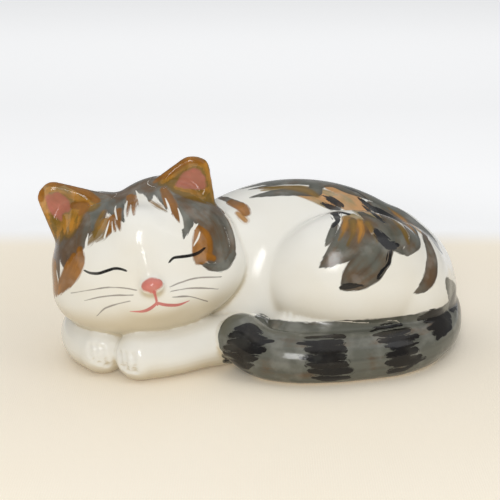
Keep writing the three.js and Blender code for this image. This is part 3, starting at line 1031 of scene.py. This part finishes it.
def measure(points, facings, stroke):
    """Distance from the stroke's edge, run along it, offset across it, and half width there."""
    places, laid, half, _, grip = stroke
    best = np.full((len(points), 4), UNPAINTED)
    run = 0.0
    for i in range(len(places) - 1):
        step = places[i + 1] - places[i]
        length = np.linalg.norm(step)
        share = np.clip((points - places[i]) @ step / max(length ** 2, 1e-9), 0, 1)
        offset = points - places[i] - share[:, None] * step
        gap = np.linalg.norm(offset, axis=1)
        width = half[i] + share * (half[i + 1] - half[i])
        turned = np.cross(np.broadcast_to(step, offset.shape), offset)
        side = np.sign(np.einsum("ij,ij->i", turned, facings))
        found = np.stack([gap - width, run + share * length, gap * side, width], axis=1)
        closer = (found[:, 0] < best[:, 0]) & (facings @ laid[i] > grip)
        best[closer] = found[closer]
        run += length
    return best


def paint_clay(piece):
    points = point_places(piece)
    facings = point_facings(piece)
    for paint, tray in trays.items():
        edge = np.full(len(points), UNPAINTED)
        flow = np.zeros((len(points), 3))
        flow[:, 1] = UNPAINTED
        tone = np.full(len(points), 0.5)
        for number, stroke in enumerate(tray):
            places, _, half, stroke_tone, _ = stroke
            reach = half.max() + SPREAD
            low, high = places.min(axis=0) - reach, places.max(axis=0) + reach
            here = np.flatnonzero(((points > low) & (points < high)).all(axis=1))
            if not len(here):
                continue
            found = measure(points[here], facings[here], stroke)
            on_top = (found[:, 0] < 0) | (found[:, 0] < edge[here])
            spots = here[on_top]
            found = found[on_top]
            edge[spots] = np.minimum(edge[spots], found[:, 0])
            flow[spots] = found[:, 1:] + [number * STROKE_GAP, 0, 0]
            tone[spots] = stroke_tone
        for name, kind, values in (("edge", "FLOAT", edge), ("tone", "FLOAT", tone),
                                   ("flow", "FLOAT_VECTOR", flow)):
            attribute = piece.data.attributes.new(f"{paint}_{name}", kind, "POINT")
            attribute.data.foreach_set("vector" if kind == "FLOAT_VECTOR" else "value", values.ravel())
    # Each point takes the crease and underside darkening of the whole cat: partly glaze pooling, partly
    # painted shade.
    pool = pool_and_shade_depth[[skin_tree.find(spot)[1] for spot in points]]
    piece.data.attributes.new("glaze_pool_and_shade", "FLOAT", "POINT").data.foreach_set("value", pool)


for piece in pieces.values():
    paint_clay(piece)
print("painted", len(pieces), "pieces")

# %% [markdown]
# ## Mixing the paints
# The clay is white. Each paint is a layer over what is under it, from the ochre wash up to the
# whiskers. A layer's edge comes from the stored distance, broken up by noise that is drawn out
# along the stroke, as brush hairs do. The paint darkens towards a stroke's edge, where it settles
# as it dries. Its colour drifts between two pigments in soft clouds, and it thins a little in
# places, so that the clay shows through.


# %% Node helpers
def start_material(name):
    material = bpy.data.materials.new(name)
    material.use_nodes = True
    tree = material.node_tree
    place = add_node(tree, "ShaderNodeTexCoord").outputs["Object"]
    return material, tree, tree.nodes["Principled BSDF"], place


def add_bump(tree, shader, height, strength, distance):
    """Turns a height into the shader's normal; the distance is in metres."""
    inputs = {"Height": height, "Strength": strength, "Distance": distance}
    bump = add_node(tree, "ShaderNodeBump", inputs)
    tree.links.new(bump.outputs[0], shader.inputs["Normal"])


def pigment(red, green, blue):
    """A colour from a paint chart, given in the usual 0 to 255, made linear for the shader."""
    parts = [c / 255 for c in (red, green, blue)]
    return tuple(c / 12.92 if c <= 0.04045 else ((c + 0.055) / 1.055) ** 2.4 for c in parts) + (1,)


def add_node(tree, kind, inputs=(), **settings):
    node = tree.nodes.new(kind)
    for key, value in settings.items():
        setattr(node, key, value)
    for socket, value in dict(inputs).items():
        if isinstance(value, bpy.types.NodeSocket):
            tree.links.new(value, node.inputs[socket])
        else:
            node.inputs[socket].default_value = value
    return node


def work_out(tree, operation, first, second=0.0):
    return add_node(tree, "ShaderNodeMath", {0: first, 1: second}, operation=operation).outputs[0]


def blend(tree, share, under, over, kind="MIX"):
    inputs = {0: share, 6: under, 7: over}
    node = add_node(tree, "ShaderNodeMix", inputs, data_type="RGBA", blend_type=kind)
    return node.outputs[2]


def noise(tree, place, scale, detail=3.0, stretch=(1, 1, 1)):
    stretched = add_node(tree, "ShaderNodeMapping", {"Vector": place, "Scale": stretch})
    inputs = {"Vector": stretched.outputs[0], "Scale": scale, "Detail": detail}
    return add_node(tree, "ShaderNodeTexNoise", inputs).outputs["Fac"]


def remap(tree, value, low, high, to_low=0.0, to_high=1.0):
    inputs = {0: value, 1: low, 2: high, 3: to_low, 4: to_high}
    node = add_node(tree, "ShaderNodeMapRange", inputs, interpolation_type="SMOOTHSTEP")
    return node.outputs[0]


# %% One layer of paint
SOOT = pigment(26, 22, 18)


def centred(tree, value, middle, gain):
    """Moves a noise to lie about nought, and stretches it."""
    return work_out(tree, "MULTIPLY", work_out(tree, "SUBTRACT", value, middle), gain)


def lay_paint(tree, place, under, paint, light, dark, ragged=1.0, soft=0.25, cover=0.97,
              fine=False, pool=0.3, hair=1.1):
    """Lays one paint over a colour, and gives back the colour and where the paint lies."""
    edge = add_node(tree, "ShaderNodeAttribute", attribute_name=paint + "_edge").outputs["Fac"]
    tone = add_node(tree, "ShaderNodeAttribute", attribute_name=paint + "_tone").outputs["Fac"]
    flow = add_node(tree, "ShaderNodeAttribute", attribute_name=paint + "_flow").outputs["Vector"]
    if fine:
        parts = add_node(tree, "ShaderNodeSeparateXYZ", {0: flow})
        across = work_out(tree, "ABSOLUTE", parts.outputs[1])
        rib = work_out(tree, "SUBTRACT", across, parts.outputs[2])
        edge = work_out(tree, "MAXIMUM", rib, work_out(tree, "SUBTRACT", edge, 0.45))
    hairs = noise(tree, flow, 1.0, 3.0, (0.12, hair, 0))
    frayed = work_out(tree, "ADD", edge, centred(tree, hairs, 0.55, 2.4 * ragged))
    mask = remap(tree, frayed, -soft, soft, 1, 0)
    cloud = noise(tree, place, 70, 5.0)
    streak = noise(tree, flow, 1.0, 4.0, (0.03, 0.35, 0))
    shade = work_out(tree, "ADD", tone, centred(tree, cloud, 0.5, 2.8))
    shade = work_out(tree, "ADD", shade, centred(tree, streak, 0.5, 1.1))
    colour = blend(tree, remap(tree, shade, 0, 1), dark, light)
    rim = remap(tree, edge, -3.2, 0.2, 0, pool)
    colour = blend(tree, rim, colour, SOOT)
    watery = noise(tree, place, 95, 3.0)
    thin = remap(tree, watery, 0.3, 0.55, cover * 0.9, cover)
    return blend(tree, work_out(tree, "MULTIPLY", mask, thin), under, colour), mask


# %% [markdown]
# ## The glaze
# Clear glaze over white clay is a smooth, thin glass. It is never quite even: it is faintly
# rippled, and warmer and darker where it has pooled in creases. That darkening, and more of it
# where the skin faces down, is also painted shade. The foot is wiped clean before firing and stays
# bare biscuit clay, and so does the inside.

# %% Glaze and biscuit
GLAZE_WARM = pigment(235, 230, 216)
# The pooled glaze tint, laid in creases and on skin that faces down, is partly painted shade.
POOLED_GLAZE_AND_SHADE = pigment(198, 182, 148)


# Each paint's light and dark colour, and how it is laid, from the lowest layer up. A bare scratch
# shows the white glaze instead of a paint.
WHITE = (242, 240, 232)
PIGMENTS = (
    ("ochre", (194, 138, 70), (138, 120, 66), {"soft": 0.7, "cover": 0.92, "pool": 0.1}),
    ("grey", (92, 66, 36), (92, 93, 83), {"soft": 0.4, "pool": 0.4}),
    ("amber", (194, 134, 44), (128, 98, 30), {"ragged": 1.5, "soft": 1.2, "cover": 0.93}),
    ("rust", (174, 112, 28), (138, 88, 20), {"soft": 0.7, "cover": 0.96, "pool": 0.15}),
    ("dark", (26, 22, 18), (12, 12, 16), {"ragged": 2.2, "cover": 0.99, "pool": 0.1, "hair": 0.8}),
    ("pink", (212, 120, 106), (180, 114, 94), {"soft": 0.8, "cover": 0.95, "pool": 0.1}),
    ("bare", WHITE, WHITE, {"ragged": 0.25, "fine": True}),
    ("lip", (214, 116, 108), (196, 100, 94),
     {"ragged": 0.15, "soft": 0.2, "cover": 0.9, "fine": True, "pool": 0.0}),
    ("ink", (12, 10, 9), (6, 5, 5),
     {"ragged": 0.1, "soft": 0.2, "cover": 0.99, "fine": True, "pool": 0.0}),
    ("whisker", (120, 108, 98), (96, 86, 78),
     {"ragged": 0.4, "cover": 0.75, "fine": True, "pool": 0.0}),
)


def painted_glaze():
    material, tree, shader, place = start_material("painted_glaze")
    patches = remap(tree, noise(tree, place, 22, 2.0), 0.4, 0.7, 0, 0.6)
    colour = blend(tree, patches, pigment(*WHITE), GLAZE_WARM)
    # Creases and skin that faces down turn towards the pooled tint: partly glaze pooling, partly
    # painted shade.
    pool = add_node(tree, "ShaderNodeAttribute", attribute_name="glaze_pool_and_shade").outputs["Fac"]
    colour = blend(tree, remap(tree, pool, 0.15, 1.6, 0, 0.75), colour, POOLED_GLAZE_AND_SHADE)
    white = colour
    for paint, light, dark, habits in PIGMENTS:
        covered, mask = lay_paint(tree, place, colour, paint, pigment(*light), pigment(*dark), **habits)
        colour = blend(tree, mask, colour, white) if paint == "bare" else covered
    tree.links.new(colour, shader.inputs["Base Color"])
    shader.inputs["Roughness"].default_value = 0.09
    shader.inputs["IOR"].default_value = 1.5
    shader.inputs["Specular IOR Level"].default_value = 0.3
    shader.inputs["Coat Weight"].default_value = 0.12
    shader.inputs["Coat Roughness"].default_value = 0.03
    ripple = noise(tree, place, 110, 2.0)
    grain = noise(tree, place, 1300, 2.0)
    relief = work_out(tree, "ADD", ripple, work_out(tree, "MULTIPLY", grain, 0.6))
    add_bump(tree, shader, relief, 0.25, 0.0004)
    return material


def biscuit_clay():
    material, tree, shader, place = start_material("biscuit_clay")
    mottle = noise(tree, place, 60, 6.0)
    specks = remap(tree, noise(tree, place, 900, 2.0), 0.66, 0.74)
    colour = blend(tree, mottle, pigment(232, 222, 204), pigment(212, 198, 174))
    colour = blend(tree, specks, colour, pigment(150, 130, 104))
    tree.links.new(colour, shader.inputs["Base Color"])
    shader.inputs["Roughness"].default_value = 0.85
    grit = noise(tree, place, 700, 6.0)
    add_bump(tree, shader, grit, 0.5, 0.0003)
    return material


def felt_cloth():
    material, tree, shader, place = start_material("felt_cloth")
    fibre = noise(tree, place, 1800, 6.0, (1, 0.35, 1))
    tangle = noise(tree, place, 1500, 6.0, (0.35, 1, 1))
    fuzz = work_out(tree, "MULTIPLY", work_out(tree, "ADD", fibre, tangle), 0.5)
    colour = blend(tree, remap(tree, fuzz, 0.35, 0.65), pigment(96, 84, 70), pigment(150, 136, 116))
    tree.links.new(colour, shader.inputs["Base Color"])
    shader.inputs["Roughness"].default_value = 0.95
    shader.inputs["Sheen Weight"].default_value = 0.4
    add_bump(tree, shader, fuzz, 0.8, 0.0004)
    return material


# %% Dress the pieces
glaze = painted_glaze()
biscuit = biscuit_clay()
felt = felt_cloth()
inside_reach = WALL * 0.4 * mm
for node, piece in pieces.items():
    piece.data.materials.clear()
    piece.data.materials.append(glaze)
    piece.data.materials.append(biscuit)
    bare = 0
    for face in piece.data.polygons:
        on_foot = face.center.z < foot_height + 0.02 * mm and face.normal.z < -0.9
        distance = skin.find_nearest(face.center)[3]
        face.material_index = int(on_foot or distance > inside_reach)
        bare += face.material_index
    pick(piece)
    bpy.ops.object.shade_smooth_by_angle(angle=math.radians(50))
    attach(piece, "root")
    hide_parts(node)
    print(node, "bare faces:", bare)
for pad in felt_pads:
    pad.data.materials.clear()
    pad.data.materials.append(felt)
    pick(pad)
    bpy.ops.object.shade_smooth_by_angle(angle=math.radians(40))


# %% [markdown]
# ## The studio
# A cream cloth lies on the table, and beyond it a white ground runs back and glows like a lit wall.
# The cloth glows too, more the farther it lies from the cat: painted light in place of lamp light.
# A narrow soft lamp in front makes the bright patches on the glaze. A wide one overhead gives most
# of the light, and a weak one at the side softens the shadows.

# %% Cloth and wall
CLOTH_END = 0.2  # how far behind the cat the cloth stops, in metres
WALL_DEPTH = 1.2  # how far the white ground takes to reach its full glow
WALL_GLOW = (0.22, 0.42)
CLOTH_REACH = (0.1, 0.45)  # the cloth's painted glow rises between these distances from the cat
CLOTH_GLOW = (0.09, 0.3)
THREADS = 260.0


def studio_floor():
    material, tree, shader, place = start_material("cream_cloth")
    depth = add_node(tree, "ShaderNodeSeparateXYZ", {0: place}).outputs[1]
    far = remap(tree, depth, CLOTH_END - 0.02, CLOTH_END + 0.03)
    threads = {"Vector": place, "Scale": THREADS, "Distortion": 2.5, "Detail": 2.0}
    warp = add_node(tree, "ShaderNodeTexWave", threads, bands_direction="X").outputs["Fac"]
    weft = add_node(tree, "ShaderNodeTexWave", threads, bands_direction="Y").outputs["Fac"]
    weave = work_out(tree, "MULTIPLY", work_out(tree, "ADD", warp, weft), 0.5)
    drift = noise(tree, place, 5, 3.0)
    cloth = blend(tree, drift, pigment(252, 244, 229), pigment(249, 238, 217))
    cloth = blend(tree, work_out(tree, "MULTIPLY", weave, 0.07), cloth, pigment(205, 180, 145))
    colour = blend(tree, far, cloth, pigment(250, 250, 250))
    tree.links.new(colour, shader.inputs["Base Color"])
    tree.links.new(colour, shader.inputs["Emission Color"])
    glow = remap(tree, depth, CLOTH_END, CLOTH_END + WALL_DEPTH, *WALL_GLOW)
    # Painted light: the cloth glows more the farther it lies from the cat, so it stays darker near the
    # cat as if in its shade.
    reach = add_node(tree, "ShaderNodeVectorMath", {0: place}, operation="LENGTH").outputs["Value"]
    near_glow = remap(tree, reach, *CLOTH_REACH, *CLOTH_GLOW)
    glow = work_out(tree, "MAXIMUM", work_out(tree, "MULTIPLY", far, glow), near_glow)
    tree.links.new(glow, shader.inputs["Emission Strength"])
    shader.inputs["Roughness"].default_value = 0.95
    shader.inputs["Specular IOR Level"].default_value = 0.1
    add_bump(tree, shader, weave, 0.2, 0.0003)
    return material


bpy.ops.object.select_all(action="DESELECT")
bpy.ops.mesh.primitive_plane_add(size=10)
floor = bpy.context.object
floor.name = "cloth_floor"
floor.data.materials.append(studio_floor())

# %% Lamps
def softbox(name, place, size, power):
    data = bpy.data.lights.new(name, "AREA")
    data.shape = "RECTANGLE"
    data.size, data.size_y = size
    data.energy = power
    lamp = bpy.data.objects.new(name, data)
    lamp.location = place
    aim = camera_target - Vector(place)
    lamp.rotation_euler = aim.to_track_quat("-Z", "Y").to_euler()
    bpy.context.scene.collection.objects.link(lamp)
    return lamp


softbox("key_lamp", (-0.1, -1.0, 0.54), (0.2, 0.46), 3.7)
softbox("top_lamp", (0.0, 0.1, 1.5), (2.4, 2.4), 12)
softbox("side_lamp", (0.9, -0.5, 0.9), (0.5, 0.5), 1.0)
world = bpy.data.worlds.new("room")
world.use_nodes = True
world.node_tree.nodes["Background"].inputs["Color"].default_value = (0.95, 0.97, 1.0, 1)
world.node_tree.nodes["Background"].inputs["Strength"].default_value = 0.33
bpy.context.scene.world = world
bpy.context.scene.view_settings.view_transform = "Standard"
